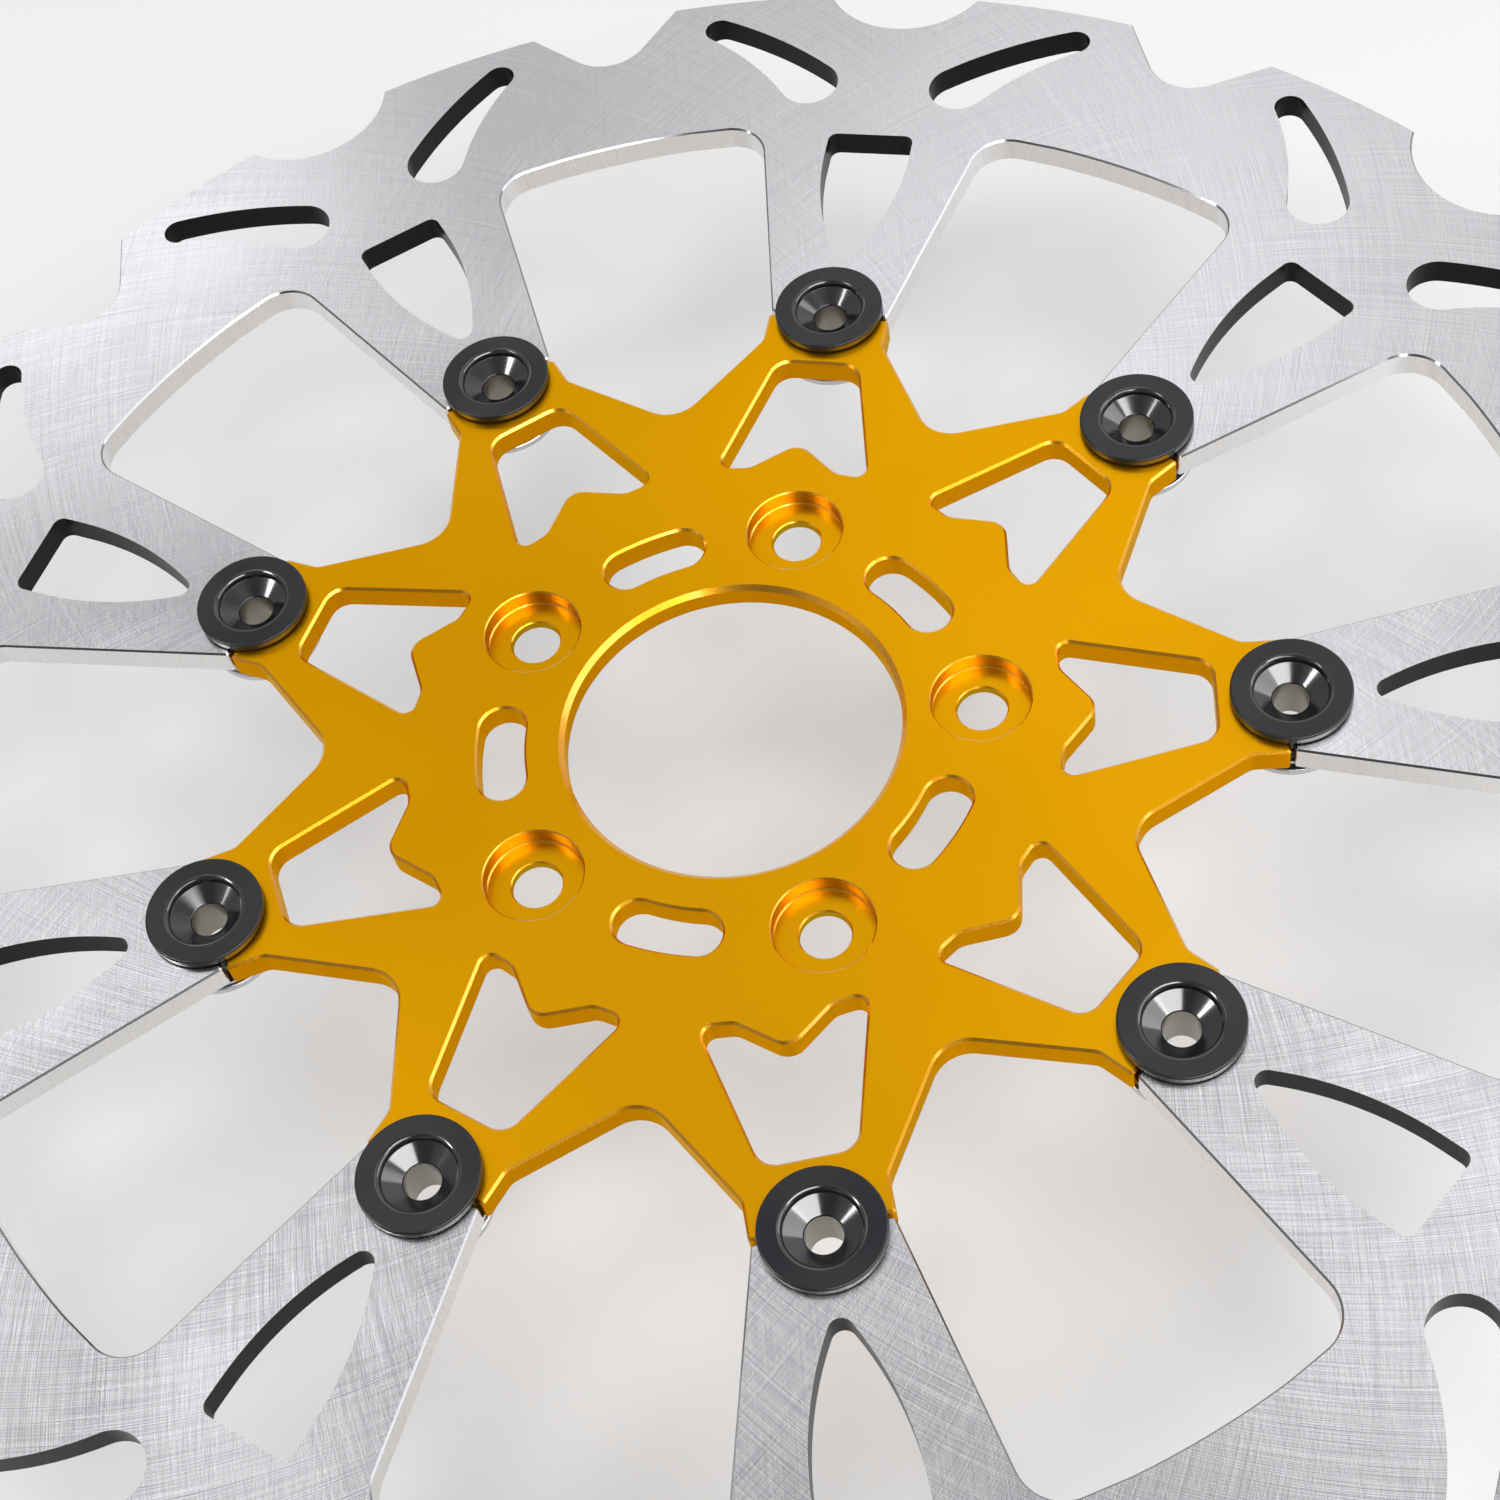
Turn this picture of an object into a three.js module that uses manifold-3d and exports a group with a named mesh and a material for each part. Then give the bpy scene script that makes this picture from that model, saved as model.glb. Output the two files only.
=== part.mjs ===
import * as THREE from "three";
import { mergeVertices } from "three/addons/utils/BufferGeometryUtils.js";
import Module from "manifold-3d";

// A floating brake disc rotor for a motorcycle. A carrier bolts to the wheel hub, a braking ring floats
// round it, and nine bobbins join the two. Millimetres. +Z is the rotor's axis and points to the outer
// side, where the bolt heads sit; the origin is on the axis, level with the bobbins' feet.
// Outlines are drawn for one arm that points along +Y, and are turned about the axis for the others.

// Whole rotor
const ARMS = 9;
const ARM_PITCH = 360 / ARMS;
const BOLTS = 5;
const BOLT_PITCH = 360 / BOLTS;
const PLATE_THICKNESS = 5;
const CHORD_TOLERANCE = 0.18; // furthest that a straight facet lies from its true arc

// Heights, from the feet of the bobbins up
const CLIP_BOTTOM = 0.7;
const CLIP_THICKNESS = 0.8;
const STACK_GAP = 0.3; // left between the pieces of the stack under the plates
const WASHER_BOTTOM = CLIP_BOTTOM + CLIP_THICKNESS + STACK_GAP;
const WASHER_THICKNESS = 1.3;
const WAVE_BOTTOM = WASHER_BOTTOM + WASHER_THICKNESS + STACK_GAP;
const WAVE_HEIGHT = 1.7;
const PLATE_BOTTOM = WAVE_BOTTOM + WAVE_HEIGHT + STACK_GAP;
const PLATE_TOP = PLATE_BOTTOM + PLATE_THICKNESS;
const FLANGE_BOTTOM = PLATE_TOP + STACK_GAP;
const FLANGE_THICKNESS = 1.5;
const FLANGE_TOP = FLANGE_BOTTOM + FLANGE_THICKNESS;

// Braking ring
const RING_RADIUS = 175;
const TRACK_INNER_RADIUS = 139.3;
const TIP_ANGLE = 4.8; // from the middle of a scallop to its tips
const ARM_SCALLOP_BOTTOM = 165.8; // lowest point of the round scallop over each arm
const GAP_SCALLOP_APEX = 158.6; // where the flanks of the scallop between two arms would meet
const GAP_SCALLOP_FILLET = 8.6;
const ARM_END = 90.7;
const ARM_END_HALF_WIDTH = 10.75;
const ARM_END_FILLET = 0.6;
const ARM_ROOT_ANGLE = 9; // from an arm's axis to its root on the track's inner edge
const ARM_ROOT_FILLET = 7;

// Shield-shaped window in each arm of the ring
const SHIELD_TOP = 136.3;
const SHIELD_HALF_WIDTH = 8.2;
const SHIELD_CORNER = 1.8;
const SHIELD_SIDE_START = 131;
const SHIELD_SIDE_RADIUS = 54;
const SHIELD_TIP_RADIUS = 2;

// Comma-shaped slots in the track, a mirrored pair to each arm
const COMMA_HEAD = { x: 14.75, y: 149.7, radius: 5.7 };
const COMMA_TAIL = { x: 35.5, y: 163.4, radius: 2.9 };
const COMMA_OUTER_RADIUS = 80;
const COMMA_INNER_RADIUS = 55;

// Carrier
const HUB_BORE_RADIUS = 28.2;
const HEAD_END = 90;
const HEAD_HALF_WIDTH = 11.1;
const HEAD_FILLET = 0.6;
const SHOULDER_Y = 83.8;
const SHOULDER_FILLET = 3;
const VALLEY_APEX = 67.8; // where the flanks of two neighbouring arms would meet
const VALLEY_FILLET = 6.2;
const WINDOW_CORNERS = [
  [7.33, 78.85, 3.6],
  [13.47, 53.63, 1.8],
  [7.8, 54.3, 3],
  [0, 60.49, 3.4],
  [-7.8, 54.3, 3],
  [-13.47, 53.63, 1.8],
  [-7.33, 78.85, 3.6],
];
const BOLT_CIRCLE_RADIUS = 82.55 / 2;
const BOLT_HOLE_RADIUS = 4.2;
const COUNTERBORE_RADIUS = 8.3;
const COUNTERBORE_DEPTH = 3.2;
const SLOT_RADIUS = 38.9;
const SLOT_HALF_WIDTH = 4;
const SLOT_HALF_ANGLE = 7.5;

// Bobbins and what rides on them
const BOBBIN_CIRCLE_RADIUS = 90.9;
const NOTCH_RADIUS = 7.7;
const SHANK_RADIUS = 7.4;
const FLANGE_RADIUS = 9.8;
const BOBBIN_BORE_RADIUS = 3;
const BORE_CHAMFER = 1;
const DISH_RADIUS = 5.95;
const DISH_WALL = 1.3;
const DISH_CONE_SLOPE = 31; // degrees from flat
const GROOVE_RADIUS = 6.9;
const GROOVE_MARGIN = 0.2;
const WASHER_RADIUS = 10;
const WASHER_BORE_RADIUS = 7.7;
const WAVE_SHEET = 0.5;
const WAVE_RADIUS = 9.6;
const WAVES = 3;
const CLIP_RADIUS = 8.8;
const CLIP_BORE_RADIUS = 7.25;
const CLIP_GAP_ANGLE = 50;
const ROUND_FACETS = 20; // facets of each small turned piece

const COLOURS = {
  carrier: { color: 0xd79a10, roughness: 0.4, metalness: 1 },
  ring: { color: 0xb9babd, roughness: 0.35, metalness: 1 },
  bobbin: { color: 0x26272b, roughness: 0.35, metalness: 0.8 },
  washer: { color: 0xb4b5b8, roughness: 0.3, metalness: 1 },
  clip: { color: 0x4a4a4c, roughness: 0.4, metalness: 1 },
};

const radians = THREE.MathUtils.degToRad;

/** A point at a distance from the axis and at an angle clockwise from the arm that points along +Y. */
function polar(radius, angle) {
  return new THREE.Vector2(radius * Math.sin(radians(angle)), radius * Math.cos(radians(angle)));
}

/** Points along an arc from one angle to another, both ends included; angles run counterclockwise from +X. */
function arc(centre, radius, from, to) {
  const step = 2 * Math.acos(1 - CHORD_TOLERANCE / radius);
  const count = Math.max(2, Math.ceil(Math.abs(radians(to - from)) / step));
  return Array.from({ length: count + 1 }, (_, i) => {
    const angle = radians(from + ((to - from) * i) / count);
    return new THREE.Vector2(centre.x + radius * Math.cos(angle), centre.y + radius * Math.sin(angle));
  });
}

/** The direction from one point to another, in degrees counterclockwise from +X. */
function bearing(from, to) {
  return THREE.MathUtils.radToDeg(Math.atan2(to.y - from.y, to.x - from.x));
}

/** The points turned clockwise about the rotor's axis. */
function turned(points, angle) {
  const origin = new THREE.Vector2();
  return points.map((point) => {
    const moved = new THREE.Vector2(point.x, point.y).rotateAround(origin, -radians(angle));
    moved.fillet = point.fillet;
    return moved;
  });
}

/** The points mirrored across the arm's axis, in reverse order, so that they carry on an outline. */
function mirrored(points) {
  return points.map((point) => new THREE.Vector2(-point.x, point.y)).reverse();
}

/** A corner that `rounded` rounds off. */
function corner(x, y, fillet) {
  return Object.assign(new THREE.Vector2(x, y), { fillet });
}

/** A closed outline with each corner that has a fillet replaced by an arc that is tangent to both sides. */
function rounded(corners) {
  return corners.flatMap((here, i) => {
    if (!here.fillet) {
      return [here];
    }
    const back = corners.at(i - 1).clone().sub(here).normalize();
    const ahead = corners[(i + 1) % corners.length].clone().sub(here).normalize();
    const half = Math.acos(back.dot(ahead)) / 2;
    const middle = back.clone().add(ahead).normalize();
    const centre = here.clone().addScaledVector(middle, here.fillet / Math.sin(half));
    const run = here.fillet / Math.tan(half);
    const start = bearing(centre, here.clone().addScaledVector(back, run));
    const end = bearing(centre, here.clone().addScaledVector(ahead, run));
    const sweep = ((end - start + 540) % 360) - 180;
    return arc(centre, here.fillet, start, start + sweep);
  });
}

/** The point at given distances from two others, on the left of the line from the first to the second. */
function apex(first, fromFirst, second, fromSecond) {
  const line = new THREE.Vector2(second.x - first.x, second.y - first.y);
  const span = line.length();
  const along = (fromFirst ** 2 - fromSecond ** 2 + span ** 2) / (2 * span);
  const aside = Math.sqrt(fromFirst ** 2 - along ** 2);
  line.normalize();
  return new THREE.Vector2(
    first.x + line.x * along - line.y * aside,
    first.y + line.y * along + line.x * aside,
  );
}

/** A plate of the plates' thickness from a clockwise outline and the outlines of its holes. */
function plate(outline, holes) {
  const shape = new THREE.Shape(outline.toReversed());
  shape.holes = holes.map((hole) => new THREE.Path(hole));
  const geometry = new THREE.ExtrudeGeometry(shape, { depth: PLATE_THICKNESS, bevelEnabled: false });
  return geometry.translate(0, 0, PLATE_BOTTOM);
}

/** One copy of an outline for each arm. */
function atEachArm(points) {
  return Array.from({ length: ARMS }, (_, i) => turned(points, i * ARM_PITCH));
}

// Braking ring

function ringOuterEdge() {
  const halfPitch = ARM_PITCH / 2;
  const tip = polar(RING_RADIUS, TIP_ANGLE);
  const depth = tip.y - ARM_SCALLOP_BOTTOM;
  const scallopRadius = (tip.x ** 2 + depth ** 2) / (2 * depth);
  const scallopCentre = new THREE.Vector2(0, ARM_SCALLOP_BOTTOM + scallopRadius);
  const reach = bearing(scallopCentre, tip);
  const scallop = arc(scallopCentre, scallopRadius, -180 - reach, reach);
  const rim = arc(new THREE.Vector2(), RING_RADIUS, 90 - TIP_ANGLE, 90 - halfPitch + TIP_ANGLE);
  const between = polar(GAP_SCALLOP_APEX, halfPitch);
  const sector = [
    ...mirrored(rim).slice(0, -1),
    ...scallop,
    ...rim.slice(1),
    corner(between.x, between.y, GAP_SCALLOP_FILLET),
  ];
  return rounded(atEachArm(sector).flat());
}

function ringInnerEdge() {
  const bobbin = new THREE.Vector2(0, BOBBIN_CIRCLE_RADIUS);
  const mouth = THREE.MathUtils.radToDeg(Math.asin((ARM_END - bobbin.y) / NOTCH_RADIUS));
  const notch = arc(bobbin, NOTCH_RADIUS, 180 - mouth, mouth);
  const root = polar(TRACK_INNER_RADIUS, ARM_ROOT_ANGLE);
  const track = arc(new THREE.Vector2(), TRACK_INNER_RADIUS, 90 - ARM_ROOT_ANGLE, 90 - ARM_PITCH / 2);
  const sector = [
    ...mirrored(track).slice(1, -1),
    corner(-root.x, root.y, ARM_ROOT_FILLET),
    corner(-ARM_END_HALF_WIDTH, ARM_END, ARM_END_FILLET),
    ...notch,
    corner(ARM_END_HALF_WIDTH, ARM_END, ARM_END_FILLET),
    corner(root.x, root.y, ARM_ROOT_FILLET),
    ...track.slice(1),
  ];
  return rounded(atEachArm(sector).flat());
}

function shieldWindow() {
  const sideCentre = new THREE.Vector2(SHIELD_HALF_WIDTH - SHIELD_SIDE_RADIUS, SHIELD_SIDE_START);
  const tipDistance = SHIELD_SIDE_RADIUS - SHIELD_TIP_RADIUS;
  const drop = Math.sqrt(tipDistance ** 2 - sideCentre.x ** 2);
  const tipCentre = new THREE.Vector2(0, SHIELD_SIDE_START - drop);
  const lean = bearing(sideCentre, tipCentre);
  const cornerCentre = new THREE.Vector2(SHIELD_HALF_WIDTH - SHIELD_CORNER, SHIELD_TOP - SHIELD_CORNER);
  const half = [
    ...arc(cornerCentre, SHIELD_CORNER, 90, 0),
    ...arc(sideCentre, SHIELD_SIDE_RADIUS, 0, lean),
    ...arc(tipCentre, SHIELD_TIP_RADIUS, lean, -90).slice(1),
  ];
  return [...half, ...mirrored(half).slice(1)];
}

function commaSlot() {
  const head = COMMA_HEAD;
  const tail = COMMA_TAIL;
  const outer = apex(tail, COMMA_OUTER_RADIUS - tail.radius, head, COMMA_OUTER_RADIUS - head.radius);
  const inner = apex(tail, COMMA_INNER_RADIUS + tail.radius, head, COMMA_INNER_RADIUS + head.radius);
  // the slot lies between two arcs; their centres are both on its inner side, and each meets its round ends
  return [
    ...arc(outer, COMMA_OUTER_RADIUS, bearing(outer, head), bearing(outer, tail)),
    ...arc(tail, tail.radius, bearing(outer, tail), bearing(tail, inner)).slice(1),
    ...arc(inner, COMMA_INNER_RADIUS, bearing(inner, tail), bearing(inner, head)).slice(1),
    ...arc(head, head.radius, bearing(head, inner), bearing(outer, head) - 360).slice(1, -1),
  ];
}

function brakingRing() {
  const comma = commaSlot();
  const holes = [shieldWindow(), comma, mirrored(comma)].flatMap(atEachArm);
  return plate(ringOuterEdge(), [ringInnerEdge(), ...holes]);
}

// Carrier

function carrierOuterEdge() {
  const bobbin = new THREE.Vector2(0, BOBBIN_CIRCLE_RADIUS);
  const mouth = THREE.MathUtils.radToDeg(Math.asin((HEAD_END - bobbin.y) / NOTCH_RADIUS));
  const valley = polar(VALLEY_APEX, ARM_PITCH / 2);
  const sector = [
    corner(-HEAD_HALF_WIDTH, SHOULDER_Y, SHOULDER_FILLET),
    corner(-HEAD_HALF_WIDTH, HEAD_END, HEAD_FILLET),
    ...arc(bobbin, NOTCH_RADIUS, -180 - mouth, mouth),
    corner(HEAD_HALF_WIDTH, HEAD_END, HEAD_FILLET),
    corner(HEAD_HALF_WIDTH, SHOULDER_Y, SHOULDER_FILLET),
    corner(valley.x, valley.y, VALLEY_FILLET),
  ];
  return rounded(atEachArm(sector).flat());
}

function kidneySlot() {
  const axis = new THREE.Vector2();
  const left = polar(SLOT_RADIUS, -SLOT_HALF_ANGLE);
  const right = polar(SLOT_RADIUS, SLOT_HALF_ANGLE);
  const from = 90 + SLOT_HALF_ANGLE;
  const to = 90 - SLOT_HALF_ANGLE;
  return [
    ...arc(axis, SLOT_RADIUS + SLOT_HALF_WIDTH, from, to),
    ...arc(right, SLOT_HALF_WIDTH, to, to - 180).slice(1),
    ...arc(axis, SLOT_RADIUS - SLOT_HALF_WIDTH, to, from).slice(1),
    ...arc(left, SLOT_HALF_WIDTH, from + 180, from).slice(1, -1),
  ];
}

function circle(centre, radius) {
  return arc(centre, radius, 0, 360).slice(1);
}

function asManifold(wasm, geometry) {
  const bare = geometry.clone();
  bare.deleteAttribute("normal");
  bare.deleteAttribute("uv");
  const merged = mergeVertices(bare, 1e-4);
  return new wasm.Manifold(
    new wasm.Mesh({
      numProp: 3,
      vertProperties: new Float32Array(merged.attributes.position.array),
      triVerts: new Uint32Array(merged.index.array),
    }),
  );
}

function asGeometry(solid) {
  const mesh = solid.getMesh();
  const geometry = new THREE.BufferGeometry();
  geometry.setAttribute("position", new THREE.BufferAttribute(mesh.vertProperties, mesh.numProp));
  geometry.setIndex(new THREE.BufferAttribute(mesh.triVerts, 1));
  geometry.computeVertexNormals();
  return geometry;
}

/** The carrier's plate, with the seats of the bolt heads sunk into its outer face. */
function carrier(wasm) {
  const axis = new THREE.Vector2();
  const boltAngles = Array.from({ length: BOLTS }, (_, i) => (i + 0.5) * BOLT_PITCH);
  const windows = atEachArm(rounded(WINDOW_CORNERS.map((values) => corner(...values))));
  const slots = boltAngles.map((angle) => turned(kidneySlot(), angle - BOLT_PITCH / 2));
  const bolts = boltAngles.map((angle) => circle(polar(BOLT_CIRCLE_RADIUS, angle), BOLT_HOLE_RADIUS));
  const holes = [circle(axis, HUB_BORE_RADIUS), ...windows, ...slots, ...bolts];
  let solid = asManifold(wasm, plate(carrierOuterEdge(), holes));
  for (const angle of boltAngles) {
    const seat = polar(BOLT_CIRCLE_RADIUS, angle);
    const cutter = new THREE.CylinderGeometry(
      COUNTERBORE_RADIUS,
      COUNTERBORE_RADIUS,
      2 * COUNTERBORE_DEPTH,
      ROUND_FACETS,
    );
    cutter.rotateX(Math.PI / 2).translate(seat.x, seat.y, PLATE_TOP);
    solid = solid.subtract(asManifold(wasm, cutter));
  }
  return asGeometry(solid);
}

// Bobbins and what rides on them

/** A ring of revolution about +Z from a closed profile of [radius, height] pairs. */
function turnedRing(profile) {
  const closed = [...profile, profile[0]].map(([radius, height]) => new THREE.Vector2(radius, height));
  return new THREE.LatheGeometry(closed, ROUND_FACETS).rotateX(Math.PI / 2);
}

function bobbin() {
  const coneDepth = (DISH_RADIUS - BOBBIN_BORE_RADIUS) * Math.tan(radians(DISH_CONE_SLOPE));
  const grooveBottom = CLIP_BOTTOM - GROOVE_MARGIN;
  const grooveTop = CLIP_BOTTOM + CLIP_THICKNESS + GROOVE_MARGIN;
  return turnedRing([
    [BOBBIN_BORE_RADIUS + BORE_CHAMFER, 0],
    [SHANK_RADIUS, 0],
    [SHANK_RADIUS, grooveBottom],
    [GROOVE_RADIUS, grooveBottom],
    [GROOVE_RADIUS, grooveTop],
    [SHANK_RADIUS, grooveTop],
    [SHANK_RADIUS, FLANGE_BOTTOM],
    [FLANGE_RADIUS, FLANGE_BOTTOM],
    [FLANGE_RADIUS, FLANGE_TOP],
    [DISH_RADIUS, FLANGE_TOP],
    [DISH_RADIUS, FLANGE_TOP - DISH_WALL],
    [BOBBIN_BORE_RADIUS, FLANGE_TOP - DISH_WALL - coneDepth],
    [BOBBIN_BORE_RADIUS, BORE_CHAMFER],
  ]);
}

function flatWasher() {
  return turnedRing([
    [WASHER_BORE_RADIUS, WASHER_BOTTOM],
    [WASHER_RADIUS, WASHER_BOTTOM],
    [WASHER_RADIUS, WASHER_BOTTOM + WASHER_THICKNESS],
    [WASHER_BORE_RADIUS, WASHER_BOTTOM + WASHER_THICKNESS],
  ]);
}

/** A spring washer: a flat ring of sheet whose height follows a few waves round its axis. */
function waveWasher() {
  const swing = (WAVE_HEIGHT - WAVE_SHEET) / 2;
  const geometry = turnedRing([
    [WASHER_BORE_RADIUS, WAVE_BOTTOM + swing],
    [WAVE_RADIUS, WAVE_BOTTOM + swing],
    [WAVE_RADIUS, WAVE_BOTTOM + swing + WAVE_SHEET],
    [WASHER_BORE_RADIUS, WAVE_BOTTOM + swing + WAVE_SHEET],
  ]);
  const position = geometry.attributes.position;
  for (let i = 0; i < position.count; i += 1) {
    const angle = Math.atan2(position.getY(i), position.getX(i));
    position.setZ(i, position.getZ(i) + swing * Math.cos(WAVES * angle));
  }
  return geometry;
}

/** An open ring that snaps into the bobbin's groove. */
function circlip() {
  const axis = new THREE.Vector2();
  const from = -90 + CLIP_GAP_ANGLE / 2;
  const to = 270 - CLIP_GAP_ANGLE / 2;
  const outline = [...arc(axis, CLIP_RADIUS, from, to), ...arc(axis, CLIP_BORE_RADIUS, to, from)];
  const geometry = new THREE.ExtrudeGeometry(new THREE.Shape(outline), {
    depth: CLIP_THICKNESS,
    bevelEnabled: false,
  });
  return geometry.translate(0, 0, CLIP_BOTTOM);
}

function mesh(name, geometry, look) {
  const made = new THREE.Mesh(geometry, new THREE.MeshStandardMaterial(COLOURS[look]));
  made.name = name;
  return made;
}

/** One bobbin with its washers and clip, standing on the rotor's axis. */
function bobbinSet(number) {
  const set = new THREE.Group();
  set.add(mesh(`bobbin_${number}`, bobbin(), "bobbin"));
  set.add(mesh(`wave_washer_${number}`, waveWasher(), "washer"));
  set.add(mesh(`flat_washer_${number}`, flatWasher(), "washer"));
  set.add(mesh(`circlip_${number}`, circlip(), "clip"));
  return set;
}

const wasm = await Module();
wasm.setup();

const rotor = new THREE.Group();
rotor.add(mesh("carrier", carrier(wasm), "carrier"));
rotor.add(mesh("braking_ring", brakingRing(), "ring"));
for (let i = 0; i < ARMS; i += 1) {
  const place = polar(BOBBIN_CIRCLE_RADIUS, i * ARM_PITCH);
  const set = bobbinSet(i + 1);
  set.position.set(place.x, place.y, 0);
  set.rotation.z = -radians(i * ARM_PITCH);
  rotor.add(set);
}

export default rotor;
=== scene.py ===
import math

import bpy
from mathutils import Matrix, Vector
from mathutils.geometry import tessellate_polygon


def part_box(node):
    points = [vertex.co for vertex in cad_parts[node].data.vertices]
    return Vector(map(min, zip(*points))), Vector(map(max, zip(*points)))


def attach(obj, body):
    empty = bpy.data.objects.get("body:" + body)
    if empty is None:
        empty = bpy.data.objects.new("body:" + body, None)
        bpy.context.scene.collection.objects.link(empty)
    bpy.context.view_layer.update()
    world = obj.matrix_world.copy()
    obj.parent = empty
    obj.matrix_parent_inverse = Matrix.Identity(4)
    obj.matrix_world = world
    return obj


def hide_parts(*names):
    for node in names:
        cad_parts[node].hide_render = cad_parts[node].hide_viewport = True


# A floating brake disc rotor on a pale floor. The CAD frame gives every height and the bobbins' places;
# each plate and turned part is rebuilt here with fine arcs, broken edges and its own finish.
# Outlines are in millimetres, drawn for one arm that points along +Y, and made in metres.

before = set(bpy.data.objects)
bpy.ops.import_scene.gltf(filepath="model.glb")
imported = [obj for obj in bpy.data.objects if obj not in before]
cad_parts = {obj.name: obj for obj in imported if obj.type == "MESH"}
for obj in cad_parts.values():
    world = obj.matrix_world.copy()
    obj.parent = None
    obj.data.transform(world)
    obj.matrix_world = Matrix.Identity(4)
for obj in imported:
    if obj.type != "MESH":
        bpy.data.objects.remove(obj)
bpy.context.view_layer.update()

MM = 0.001
ARMS = 9
ARM_PITCH = 360 / ARMS
BOLTS = 5
BOLT_PITCH = 360 / BOLTS
ARC_TOLERANCE = 0.012  # mm between a facet of an outline and its true arc
SAME_POINT = 1e-3  # mm: points of an outline closer than this are one point
SHARPEST_MITRE = 0.3  # limits how far an inset moves the point of a sharp corner

# Braking ring, mm
RING_RADIUS = 175
TRACK_INNER_RADIUS = 139.3
TIP_ANGLE = 4.8
TIP_FILLET = 0.5
ARM_SCALLOP_BOTTOM = 165.8
GAP_SCALLOP_APEX = 158.6
GAP_SCALLOP_FILLET = 8.6
ARM_END = 90.7
ARM_END_HALF_WIDTH = 10.75
ARM_END_FILLET = 0.6
ARM_ROOT_ANGLE = 9
ARM_ROOT_FILLET = 7
SHIELD_TOP = 136.3
SHIELD_HALF_WIDTH = 8.2
SHIELD_CORNER = 1.8
SHIELD_SIDE_START = 131
SHIELD_SIDE_RADIUS = 54
SHIELD_TIP_RADIUS = 2
COMMA_HEAD = (14.75, 149.7, 5.7)  # x, y, radius
COMMA_TAIL = (35.5, 163.4, 2.9)
COMMA_OUTER_RADIUS = 80
COMMA_INNER_RADIUS = 55
RING_EDGE_BREAK = 0.3

# Carrier, mm
HUB_BORE_RADIUS = 28.2
HEAD_END = 90
HEAD_HALF_WIDTH = 11.1
HEAD_FILLET = 0.6
SHOULDER_Y = 83.8
SHOULDER_FILLET = 3
VALLEY_APEX = 67.8
VALLEY_FILLET = 6.2
WINDOW_CORNERS = [
    (7.33, 78.85, 3.6),
    (13.47, 53.63, 1.8),
    (7.8, 54.3, 3),
    (0, 60.49, 3.4),
    (-7.8, 54.3, 3),
    (-13.47, 53.63, 1.8),
    (-7.33, 78.85, 3.6),
]
BOLT_CIRCLE_RADIUS = 82.55 / 2
BOLT_HOLE_RADIUS = 4.2
COUNTERBORE_RADIUS = 8.3
COUNTERBORE_DEPTH = 3.2
KIDNEY_RADIUS = 38.9
KIDNEY_HALF_WIDTH = 4
KIDNEY_HALF_ANGLE = 7.5
CARRIER_CHAMFER = 0.42
BORE_CHAMFER = 0.85
SLOT_CHAMFER = 0.4
SMALL_CHAMFER = 0.22

# Bobbins and what rides on them, mm
BOBBIN_CIRCLE_RADIUS = 90.9
NOTCH_RADIUS = 7.7
SHANK_RADIUS = 7.4
FLANGE_RADIUS = 9.8
BOBBIN_BORE_RADIUS = 3
FOOT_CHAMFER = 1
DISH_RADIUS = 5.95
DISH_WALL = 1.3
DISH_CONE_SLOPE = 31
GROOVE_RADIUS = 6.9
GROOVE_MARGIN = 0.2
WASHER_BORE_RADIUS = 7.7
WAVE_SHEET = 0.5
WAVES = 3
CLIP_BORE_RADIUS = 7.25
CLIP_GAP_ANGLE = 50
STACK_GAP = 0.3
FLANGE_EDGE = 0.35
DISH_LIP = 0.75
SHANK_CHAMFER = 0.3
FLANGE_FOOT = 0.15
BORE_EASE = 0.12
FLAT_WASHER_EDGE = 0.15
WAVE_WASHER_EDGE = 0.1
CLIP_EDGE = 0.08
TURNED_STEPS = 96  # facets round each turned part
SUPPORT_GAP = 0.05  # from a corner to the extra point that keeps its flat side flat

# Grinding marks on the ring, mm: the wheel's radius and its centre's distance from the disc's axis
WHEEL_RADIUS = 150
WHEEL_OFFSET = 109
GRINDING_LINE_WIDTH = 0.27
GRINDING_LINE_LENGTH = 22
HEAVY_SIDE_ANGLE = -27  # degrees round the disc from X: the side that was ground harder
HEAVY_SIDE_SPAN = (-130, 50)  # the lines deepen from the first of these places to the second
LINE_DEPTHS = (0.35, 0.92)  # at those two places, a share of the full depth

# Other finishes: bump depths in metres, and how many noise cells there are to a metre
GRINDING_BUMP = 0.00005
RIDGE_BUMP = 0.00004
FINE_BUMP = 0.00002
ETCHED_GRAIN = 5200
LATHE_GROOVES = 4200
MILLED_STRIPES = 1800
LASER_RIDGES = (2600, 2600, 120)  # long in z, so the ridges stand upright
GOLD_EDGE_TINT = (1.0, 0.85, 0.25, 1)  # keeps the gold's colour at shallow angles

# Camera, mm: where it stands, the point on the disc that it aims at, and its roll
CAMERA_PLACE = (221.8, -111.1, 370.5)
CAMERA_AIM = (5.8, -0.7, 10.4)
CAMERA_ROLL = -14.0
CAMERA_LENS = 63.6
SENSOR_WIDTH = 36
CAMERA_CLIP = 0.01  # metres
FLOOR_DROP = 70  # the disc is held this far above the floor, mm
FLOOR_HALF_WIDTH = 4.0  # metres

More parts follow.
